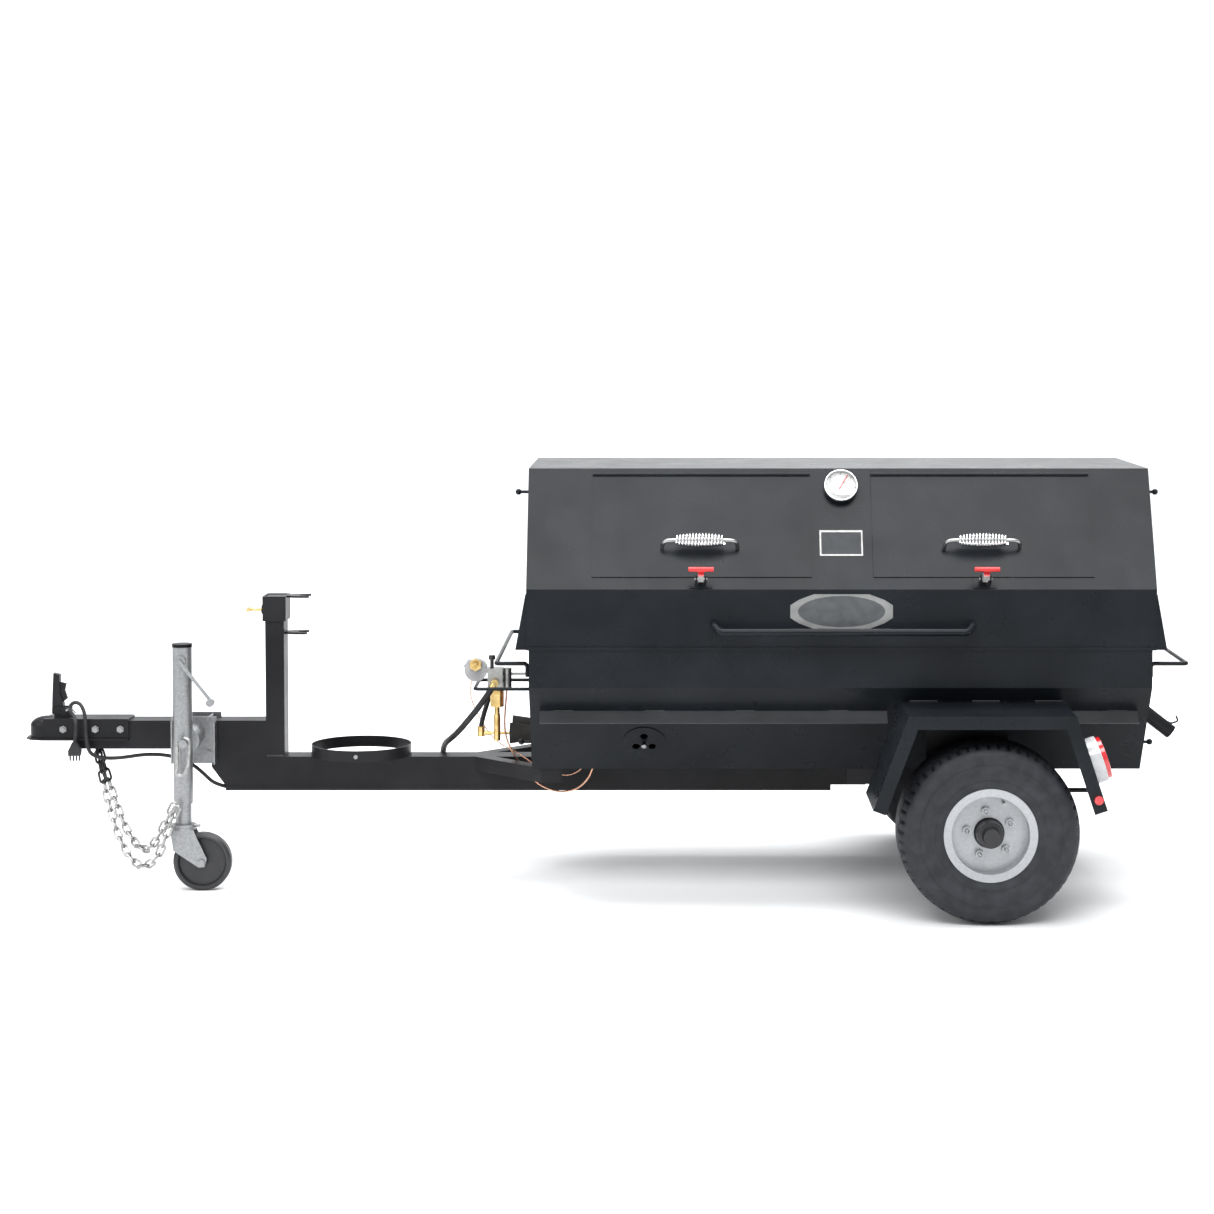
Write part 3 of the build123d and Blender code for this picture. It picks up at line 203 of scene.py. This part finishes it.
def latch_material(name):
    """Plated lever with a red dipped grip on its outer end."""
    paint = Paint(name, metallic=0.1, Coat_Weight=0.3)
    knee = OUT.dot(Vector((0, -0.256, 1.12))) + 0.0595
    red = paint.ramp(paint.noise(50.0, 3.0), [(0.3, (0.5, 0.01, 0.012)), (0.7, (0.66, 0.02, 0.02))])
    paint.colour(paint.mixed(paint.along(OUT, knee, 0.0005), (0.52, 0.52, 0.5), red))
    paint.roughness(paint.noise(60.0, 4.0), 0.28, 0.4)
    return paint.mat


def chain_material():
    """Black first links at the coupler, bright zinc for the rest."""
    paint = Paint("chain_zinc", metallic=0.85)
    zinc = paint.ramp(paint.noise(90.0, 6.0), [(0.3, (0.24, 0.24, 0.235)), (0.7, (0.46, 0.46, 0.45))])
    dark = paint.node("ShaderNodeMath", operation="MULTIPLY")
    paint.link(paint.along((0, 0, 1), 0.262, 0.001), dark.inputs[0])
    paint.link(paint.along((-1, 0, 0), 1.3, 0.001), dark.inputs[1])
    paint.colour(paint.mixed(dark.outputs["Value"], zinc, (0.03, 0.03, 0.03)))
    paint.roughness(paint.noise(40.0, 5.0), 0.28, 0.5)
    return paint.mat


def plate_material():
    """Etched plaques: bright metal with a dark field inside a plain oval border."""
    paint = Paint("plate_metal", metallic=0.6)
    field = paint.radius((0.614, 0, 0.765), (0.36, 0, 1), 0.0395, 0.0006)
    label = paint.node("ShaderNodeMath", operation="MULTIPLY")
    paint.link(paint.inside((1, 0, 0), 0.565, 0.667), label.inputs[0])
    paint.link(paint.inside((0, 0, 1), 0.907, 0.961), label.inputs[1])
    plaque = paint.mixed(field, (0.11, 0.115, 0.12), (0.3, 0.3, 0.295))
    border = paint.mixed(label.outputs["Value"], plaque, (0.02, 0.022, 0.025))
    tone = paint.node("ShaderNodeMix", data_type="RGBA", blend_type="MULTIPLY")
    tone.inputs["Factor"].default_value = 0.5
    paint.link(border, tone.inputs[6])
    paint.link(paint.ramp(paint.noise(45.0, 6.0), [(0.3, (0.5, 0.5, 0.5)), (0.7, (1, 1, 1))]), tone.inputs[7])
    paint.colour(tone.outputs[2])
    paint.roughness(paint.noise(80.0, 3.0), 0.3, 0.48)
    return paint.mat


def capped_zinc():
    """Plated jack tube with a black cap on its top end."""
    paint = Paint("zinc_capped", metallic=0.9)
    zinc = paint.ramp(paint.noise(150.0, 5.0), [(0.2, (0.24, 0.245, 0.25)), (0.8, (0.36, 0.365, 0.37))])
    paint.colour(paint.mixed(paint.along((0, 0, 1), 0.6441, 0.0004), zinc, (0.012, 0.012, 0.013)))
    paint.roughness(paint.noise(60.0, 4.0), 0.35, 0.48)
    paint.bump(paint.noise(300.0, 4.0, (1, 1, 0.2)), 0.15, 0.0005)
    return paint.mat


def brass_material():
    """Machined brass with a duller patina in patches."""
    paint = Paint("brass", metallic=1.0)
    paint.colour(paint.ramp(paint.noise(70.0, 6.0), [(0.3, (0.5, 0.33, 0.11)), (0.7, (0.82, 0.62, 0.28))]))
    paint.roughness(paint.noise(50.0, 5.0), 0.22, 0.42)
    paint.bump(paint.noise(260.0, 3.0), 0.12, 0.0004)
    return paint.mat


MATERIALS = {
    "black_paint": painted_steel("black_paint", (0.006, 0.0075, 0.0095), (0.011, 0.013, 0.016), 0.27),
    "frame_paint": painted_steel("frame_paint", (0.008, 0.008, 0.009), (0.016, 0.016, 0.018), 0.34, 0.2),
    "zinc": plated_steel("zinc", (0.24, 0.245, 0.25), (0.36, 0.365, 0.37), 0.4),
    "steel": plated_steel("steel", (0.28, 0.28, 0.28), (0.46, 0.46, 0.45), 0.32),
    "cast_iron": painted_steel("cast_iron", (0.02, 0.019, 0.018), (0.06, 0.056, 0.052), 0.6, 0.5),
    "tyre": rubber("tyre", (0.012, 0.013, 0.016), 0.62),
    "rubber": rubber("rubber", (0.01, 0.01, 0.011), 0.5, 500.0),
    "black_plastic": plastic("black_plastic", (0.016, 0.016, 0.018), 0.42),
    "red_vinyl": plastic("red_vinyl", (0.5, 0.012, 0.012), 0.3, 0.4),
    "red_lens": plastic("red_lens", (0.48, 0.008, 0.012), 0.12, 1.0),
    "clear_plastic": plastic("clear_plastic", (0.42, 0.42, 0.43), 0.2, 0.6),
    "copper": plated_steel("copper", (0.62, 0.3, 0.19), (0.86, 0.5, 0.36), 0.26),
    "chrome": plated_steel("chrome", (0.7, 0.7, 0.7), (0.84, 0.84, 0.84), 0.14),
    "brass": brass_material(),
    "rim_silver": rim_material(),
    "chain_zinc": chain_material(),
    "plate_metal": plate_material(),
}


def dress(obj, mat):
    """Give an object one material."""
    if not obj.data.materials:
        obj.data.materials.append(mat)
    for place in obj.material_slots:
        place.material = mat


def dress_frame():
    """Every carried-over CAD node takes the material of its slot in the record."""
    for part in frame["record"]["subparts"]:
        dress(nodes[part["node"]], MATERIALS[part["material_slot"]])
    latches = latch_material("latch_red_grip")
    for name in ("latch_front", "latch_rear"):
        dress(nodes[name], latches)
    valve = plated_steel("valve_body", (0.3, 0.3, 0.29), (0.5, 0.5, 0.48), 0.4)
    dress(nodes["safety_valve"], valve)
    dress(nodes["gas_regulator"], plastic("regulator_paint", (0.3, 0.3, 0.31), 0.4, 0.2))
    dress(nodes["valve_button"], MATERIALS["black_plastic"])
    dress(nodes["jack_tube"], capped_zinc())
    # the deflector strips take a lighter copy of the black paint with a stronger shine: the lighter colour is a painted
    # highlight for the bright band the strips catch
    dress(nodes["box_strips"], painted_steel("strip_paint_painted_highlight", (0.014, 0.015, 0.017), (0.022, 0.024, 0.027), 0.3, 0.12, 0.7))


# ---- mesh helpers -----------------------------------------------------------------------
def mesh_object(name, verts, faces, mat, smooth=True):
    mesh = bpy.data.meshes.new(name)
    mesh.from_pydata([tuple(v) for v in verts], [], faces)
    mesh.update()
    for polygon in mesh.polygons:
        polygon.use_smooth = smooth
    obj = bpy.data.objects.new(name, mesh)
    bpy.context.scene.collection.objects.link(obj)
    dress(obj, mat)
    return obj


def frame_about(axis):
    """Two directions square to an axis, so that (a, b, axis) is right-handed."""
    axis = Vector(axis).normalized()
    side = Vector((0, 0, 1)) if abs(axis.z) < 0.9 else Vector((1, 0, 0))
    a = side.cross(axis).normalized()
    return a, axis.cross(a), axis


def lathe(name, profile, origin, axis, mat, turns=64, shape=None):
    """Turned piece: profile holds (radius, height) pairs; shape may change a radius."""
    a, b, up = frame_about(axis)
    verts, faces, count = [], [], len(profile)
    for i in range(turns):
        angle = 2 * pi * i / turns
        for radius, height in profile:
            r = shape(radius, height, angle) if shape else radius
            verts.append(Vector(origin) + (a * cos(angle) + b * sin(angle)) * r + up * height)
    for i in range(turns):
        j = (i + 1) % turns
        for k in range(count - 1):
            faces.append((i * count + k, j * count + k, j * count + k + 1, i * count + k + 1))
    return mesh_object(name, verts, faces, mat)


def wire(name, points, radius, mat, body, kind="POLY", radii=None, sides=6):
    """Round bar or hose along points."""
    curve = bpy.data.curves.new(name, "CURVE")
    curve.dimensions = "3D"
    curve.bevel_depth = radius
    curve.bevel_resolution = sides
    curve.resolution_u = 12
    curve.use_fill_caps = True
    spline = curve.splines.new(kind)
    spline.points.add(len(points) - 1)
    for i, point in enumerate(points):
        spline.points[i].co = (*point, 1)
        spline.points[i].radius = radii[i] if radii else 1.0
    if kind == "NURBS":
        spline.order_u = 3
        spline.use_endpoint_u = True
    spline.use_smooth = True
    obj = bpy.data.objects.new(name, curve)
    bpy.context.scene.collection.objects.link(obj)
    dress(obj, mat)
    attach(obj, body)
    return obj


# ---- tyres ------------------------------------------------------------------------------
TYRE_R, BEAD_R = 0.2275, 0.1195
TREAD_HALF = 0.068


def tyre_profile():
    """Radius and offset points from one bead over the tread to the other."""
    points = [(BEAD_R - 0.012, -0.083), (BEAD_R, -0.086), (BEAD_R + 0.012, -0.0905), (BEAD_R + 0.03, -0.094)]
    for i in range(25):
        angle = pi * i / 24
        side, across = -cos(angle), sin(angle)
        width = 0.095 * (1 if side > 0 else -1) * abs(side) ** 0.55
        points.append((BEAD_R + 0.034 + (TYRE_R - BEAD_R - 0.034) * across ** 0.42, width))
    points += [(BEAD_R + 0.03, 0.094), (BEAD_R + 0.012, 0.0905), (BEAD_R, 0.086), (BEAD_R - 0.012, 0.083)]
    return points


def fine(points, step):
    """The same outline with points no further apart than step."""
    out = [points[0]]
    for (r0, h0), (r1, h1) in zip(points, points[1:]):
        cuts = max(1, int(hypot(r1 - r0, h1 - h0) / step))
        out += [(r0 + (r1 - r0) * k / cuts, h0 + (h1 - h0) * k / cuts) for k in range(1, cuts + 1)]
    return out


def tread(radius, height, angle):
    """Two straight grooves, two wandering ones and cross cuts in the shoulder ribs."""
    if radius > TYRE_R - 0.014 and abs(height) < TREAD_HALF + 0.012:
        wander = 0.004 * (1 if sin(36 * angle) > 0 else -1)
        for line in (-0.021, 0.021):
            if abs(height - line) < 0.0032:
                return radius - 0.007
        for line in (-0.048, 0.048):
            if abs(height - line - wander) < 0.003:
                return radius - 0.006
        if abs(height) > 0.051 and sin(54 * angle) > 0.78:
            return radius - 0.008
    return radius


def tyres():
    for side, y in (("left", -1), ("right", 1)):
        obj = lathe(f"tyre_{side}", fine(tyre_profile(), 0.0028), WHEEL + Vector((0, 0.505 * y, 0)), (0, 1, 0),
                    MATERIALS["tyre"], 360, tread)
        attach(obj, f"{side}_wheel")
        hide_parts(f"wheel_{side}_tyre")
        for radius, depth in ((0.1385, 0.0905), (0.178, 0.0942)):
            ring = lathe(f"tyre_{side}_ring_{round(radius * 1000)}",
                         [(radius - 0.0022, depth - 0.001), (radius, depth + 0.0026), (radius + 0.0022, depth - 0.001)],
                         WHEEL + Vector((0, 0.505 * y, 0)), (0, y, 0), MATERIALS["tyre"], 120)
            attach(ring, f"{side}_wheel")


# ---- coil handles -------------------------------------------------------------------------
HANDLES = {"front": 0.255, "rear": 0.973}


def on_panel(x, down, out):
    """Point in metres along, down and out of the tilted panel."""
    return Vector((x, -0.256, 1.12)) + PANEL * down + OUT * out


def handles():
    """Bent bar with a wound wire grip that swells towards its middle."""
    for side, x in HANDLES.items():
        bar = [on_panel(x - 0.096, 0.226, 0.004), on_panel(x - 0.096, 0.222, 0.028), on_panel(x - 0.09, 0.219, 0.045),
               on_panel(x - 0.07, 0.218, 0.05), on_panel(x, 0.218, 0.05), on_panel(x + 0.07, 0.218, 0.05),
               on_panel(x + 0.09, 0.219, 0.045), on_panel(x + 0.096, 0.222, 0.028), on_panel(x + 0.096, 0.226, 0.004)]
        rod = wire(f"handle_bar_{side}", bar, 0.005, MATERIALS["steel"], f"{side}_door", "NURBS")
        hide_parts(f"door_{side}_handle")
        turns, steps, half = 15, 20, 0.061
        coil = []
        for i in range(turns * steps + 1):
            share = i / (turns * steps)
            swell = 0.0095 + 0.0075 * sin(pi * share) ** 0.6
            angle = 2 * pi * i / steps
            centre = on_panel(x - half + 2 * half * share, 0.218, 0.05)
            coil.append(centre + PANEL * (swell * cos(angle)) + OUT * (swell * sin(angle)))
        grip = wire(f"handle_coil_{side}", coil, 0.0029, MATERIALS["chrome"], f"{side}_door", sides=3)


# ---- thermometer ----------------------------------------------------------------------------
def thermometer():
    """Chrome case, printed dial with graduations and a thin glass."""
    at = on_panel(0.618, 0.0568, 0)
    face = Paint("dial_face", rough=0.55)
    face.colour(face.ramp(face.noise(30.0, 4.0), [(0.3, (0.72, 0.72, 0.7)), (0.7, (0.8, 0.8, 0.78))]))
    case = lathe("dial_case", fine([(0.0, 0.0115), (0.042, 0.0115), (0.0435, 0.0135), (0.0435, 0.0245), (0.0425, 0.027),
                 (0.0405, 0.0274), (0.0393, 0.026), (0.0393, 0.0152)], 0.002), at, OUT, MATERIALS["chrome"], 96)
    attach(case, "hood")
    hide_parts("thermometer_case")
    stem = lathe("dial_stem", fine([(0.0, -0.07), (0.005, -0.069), (0.005, 0.0), (0.012, 0.0), (0.012, 0.0115)], 0.004),
                 at, OUT, MATERIALS["steel"], 24)
    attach(stem, "hood")
    dial = lathe("dial_face", [(0.0, 0.0152), (0.02, 0.0153), (0.0395, 0.0153)], at, OUT, face.mat, 72)
    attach(dial, "hood")
    ink = plastic("dial_ink", (0.01, 0.01, 0.01), 0.5)
    a, b = Vector((1, 0, 0)), OUT.cross(Vector((1, 0, 0)))
    verts, faces = [], []
    for k in range(55):
        angle = radians(-50 + 280 * k / 54)
        way = a * cos(angle) + b * sin(angle)
        side = (b * cos(angle) - a * sin(angle)) * (0.0006 if k % 9 == 0 else 0.0003)
        inner = 0.03 if k % 9 == 0 else 0.0335
        base = len(verts)
        for r, s in ((inner, -1), (0.0375, -1), (0.0375, 1), (inner, 1)):
            verts.append(at + OUT * 0.0156 + way * r + side * s)
        faces.append((base, base + 1, base + 2, base + 3))
    marks = mesh_object("dial_marks", verts, faces, ink, False)
    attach(marks, "hood")
    glass = Paint("dial_glass", rough=0.03, Transmission_Weight=1.0, IOR=1.2, Coat_Weight=0.3)
    glass.colour(glass.ramp(glass.noise(20.0), [(0.3, (0.97, 0.98, 0.98)), (0.7, (1, 1, 1))]))
    pane = lathe("dial_glass", [(0.0, 0.0248), (0.0392, 0.0248), (0.0392, 0.0262), (0.0, 0.0266)], at, OUT, glass.mat, 72)
    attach(pane, "hood")


# ---- lights and small trim -----------------------------------------------------------------
def light_details():
    """Moulded rings on the tail lenses."""
    normal = Vector((0.9487, 0, 0.3162))
    for side, y in (("left", -0.56), ("right", 0.56)):
        seat = Vector((1.2203, y, 0.407))
        for k in range(6):
            r = 0.012 + 0.0075 * k
            ring = lathe(f"lens_ring_{side}_{k}", [(r - 0.0016, 0.0408), (r, 0.0424), (r + 0.0016, 0.0408)],
                         seat, normal, MATERIALS["red_lens"], 72)
            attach(ring, "trailer")


def screw_head(name, place, normal, radius, body):
    """Low domed screw head."""
    head = lathe(name, fine([(0.0, radius * 0.55), (radius * 0.5, radius * 0.48), (radius * 0.9, radius * 0.22),
                 (radius, 0.0), (0.0, -0.0005)], radius / 4), place, normal, MATERIALS["zinc"], 32)
    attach(head, body)


def screws():
    """Screw heads in the middle of the dampers and on the rims' studs."""
    slope = Vector((0, -0.80978, -0.58675))
    middle = Vector((0.112, -0.2885, 0.412))
    screw_head("slope_damper_screw", middle + slope * 0.014, slope, 0.0075, "slope_damper")
    for side, y in (("left", -1), ("right", 1)):
        for k in range(5):
            angle = radians(100 + 72 * k)
            stud = WHEEL + Vector((0.05715 * cos(angle), y * 0.574, 0.05715 * sin(angle)))
            screw_head(f"stud_end_{side}_{k}", stud, (0, y, 0), 0.0055, f"{side}_wheel")


def weld(name, start, end, radius, body):
    """Scalloped weld bead between two points."""
    start, end = Vector(start), Vector(end)
    count = max(6, int((end - start).length / 0.0022))
    points = [start.lerp(end, i / count) for i in range(count + 1)]
    radii = [0.75 + 0.3 * abs(sin(pi * i / 3)) for i in range(count + 1)]
    obj = wire(name, points, radius, MATERIALS["weld"], body, radii=radii, sides=2)
    return obj


def welds():
    """Short beads along the deflector strips, the fenders and the post."""
    MATERIALS["weld"] = painted_steel("weld", (0.02, 0.02, 0.022), (0.06, 0.06, 0.062), 0.4, 0.5)
    strip_y = 0.232 + (0.503 - 0.334) / 0.236 * 0.171
    for side in (-1, 1):
        for k, x in enumerate((-0.12, 0.115, 0.345, 0.585, 1.3)):
            weld(f"strip_weld_{side + 1}_{k}", (x, side * (strip_y + 0.002), 0.5045),
                 (x + 0.05, side * (strip_y + 0.002), 0.5045), 0.0026, "trailer")
        for k, x in enumerate((0.79, 0.95, 1.11)):
            weld(f"fender_weld_{side + 1}_{k}", (x, side * 0.3765, 0.5325), (x + 0.07, side * 0.3765, 0.5325), 0.003,
                 "trailer")
    for k, y in enumerate((-0.0385, 0.0385)):
        weld(f"post_weld_{k}", (-0.901, y, 0.336), (-0.855, y, 0.336), 0.003, "trailer")
        weld(f"tongue_weld_{k}", (-1.049, y, 0.36), (-1.049, y, 0.425), 0.0026, "trailer")


# ---- hoses and cable -------------------------------------------------------------------------
LONG_HOSE = [(-0.293, -0.097, 0.527), (-0.322, -0.094, 0.484), (-0.356, -0.082, 0.441), (-0.388, -0.055, 0.402),
             (-0.413, -0.008, 0.376), (-0.431, 0.043, 0.357), (-0.440, 0.080, 0.326), (-0.442, 0.093, 0.280)]
SHORT_HOSE = [(-0.302, -0.042, 0.505), (-0.308, -0.046, 0.484), (-0.315, -0.054, 0.462), (-0.321, -0.061, 0.440),
              (-0.325, -0.065, 0.420)]
CABLE = [(-1.013, -0.020, 0.250), (-1.045, -0.022, 0.258), (-1.070, -0.021, 0.282), (-1.098, -0.018, 0.306),
         (-1.136, -0.016, 0.326), (-1.184, -0.015, 0.336), (-1.238, -0.015, 0.336), (-1.290, -0.018, 0.328),
         (-1.332, -0.032, 0.328), (-1.368, -0.056, 0.340), (-1.378, -0.064, 0.372), (-1.380, -0.064, 0.412),
         (-1.382, -0.060, 0.450), (-1.394, -0.050, 0.476), (-1.412, -0.040, 0.482), (-1.428, -0.034, 0.472),
         (-1.425, -0.042, 0.455), (-1.412, -0.058, 0.448), (-1.404, -0.068, 0.424), (-1.405, -0.070, 0.400),
         (-1.408, -0.070, 0.378)]
CORDS = {
    "gas_hose_long": (LONG_HOSE, 0.008, 0.376, "object", ()),
    "gas_hose_short": (SHORT_HOSE, 0.0065, 0.091, "object", ()),
    "trailer_cable": (CABLE, 0.005, 0.679, "plug", ("trailer_plug",)),
}


def cords():
    for name, (points, radius, length, end, extras) in CORDS.items():
        hose = wire(f"{name}_line", points, radius, MATERIALS["rubber"], "trailer", "NURBS")
        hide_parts(name)


# ---- stage ---------------------------------------------------------------------------------
def area_light(name, location, target, width, height, power):
    light = bpy.data.lights.new(name, "AREA")
    light.shape = "RECTANGLE"
    light.size, light.size_y, light.energy = width, height, power
    obj = bpy.data.objects.new(name, light)
    obj.location = location
    obj.rotation_euler = (Vector(target) - Vector(location)).to_track_quat("-Z", "Y").to_euler()
    bpy.context.scene.collection.objects.link(obj)


def stage():
    """Pale floor, soft studio lights and a long-lens camera facing the door side."""
    floor_paint = Paint("floor_pale", rough=0.85)
    floor_paint.colour(floor_paint.ramp(floor_paint.noise(0.6), [(0.3, (0.8, 0.8, 0.8)), (0.7, (0.83, 0.83, 0.83))]))
    size, back, bend = 30, 6.0, 5.0
    rows = [(-size, 0.0)] + [(back + bend * sin(radians(a)), bend - bend * cos(radians(a))) for a in range(0, 91, 6)]
    rows.append((back + bend, size))
    verts = [(x, y, z) for y, z in rows for x in (-size, size)]
    faces = [(2 * i, 2 * i + 1, 2 * i + 3, 2 * i + 2) for i in range(len(rows) - 1)]
    mesh_object("floor", verts, faces, floor_paint.mat)
    world = bpy.data.worlds.new("studio")
    world.use_nodes = True
    world.node_tree.nodes["Background"].inputs["Color"].default_value = (0.93, 0.96, 1.0, 1)
    world.node_tree.nodes["Background"].inputs["Strength"].default_value = 0.75
    bpy.context.scene.world = world
    area_light("softbox_front", (0.3, -5.0, 5.8), (0.2, -0.3, 0.9), 7.0, 2.6, 420)
    area_light("softbox_top", (0.2, -0.2, 5.5), (0.2, -0.2, 0), 6.5, 2.2, 360)
    area_light("backdrop_wash", (0.0, 1.5, 6.0), (0.0, 9.0, 2.0), 9.0, 2.0, 520)
    area_light("softbox_left", (-5.5, -2.5, 3.2), (-0.6, 0, 0.5), 3.0, 3.0, 120)
    area_light("softbox_back", (2.5, 5.0, 4.5), (0.4, 0, 0.8), 5.0, 2.0, 120)
    camera = bpy.data.cameras.new("camera")
    camera.lens, camera.sensor_width = 80.07, 36.0
    camera.shift_x, camera.shift_y = -0.0519, -0.1266
    obj = bpy.data.objects.new("camera", camera)
    obj.location = (0.179, -7.22, 1.524)
    obj.rotation_euler = (radians(87), 0, 0)
    bpy.context.scene.collection.objects.link(obj)
    bpy.context.scene.camera = obj
    bpy.context.scene.view_settings.view_transform = "Standard"


dress_frame()
cords()
tyres()
handles()
thermometer()
light_details()
screws()
welds()
stage()
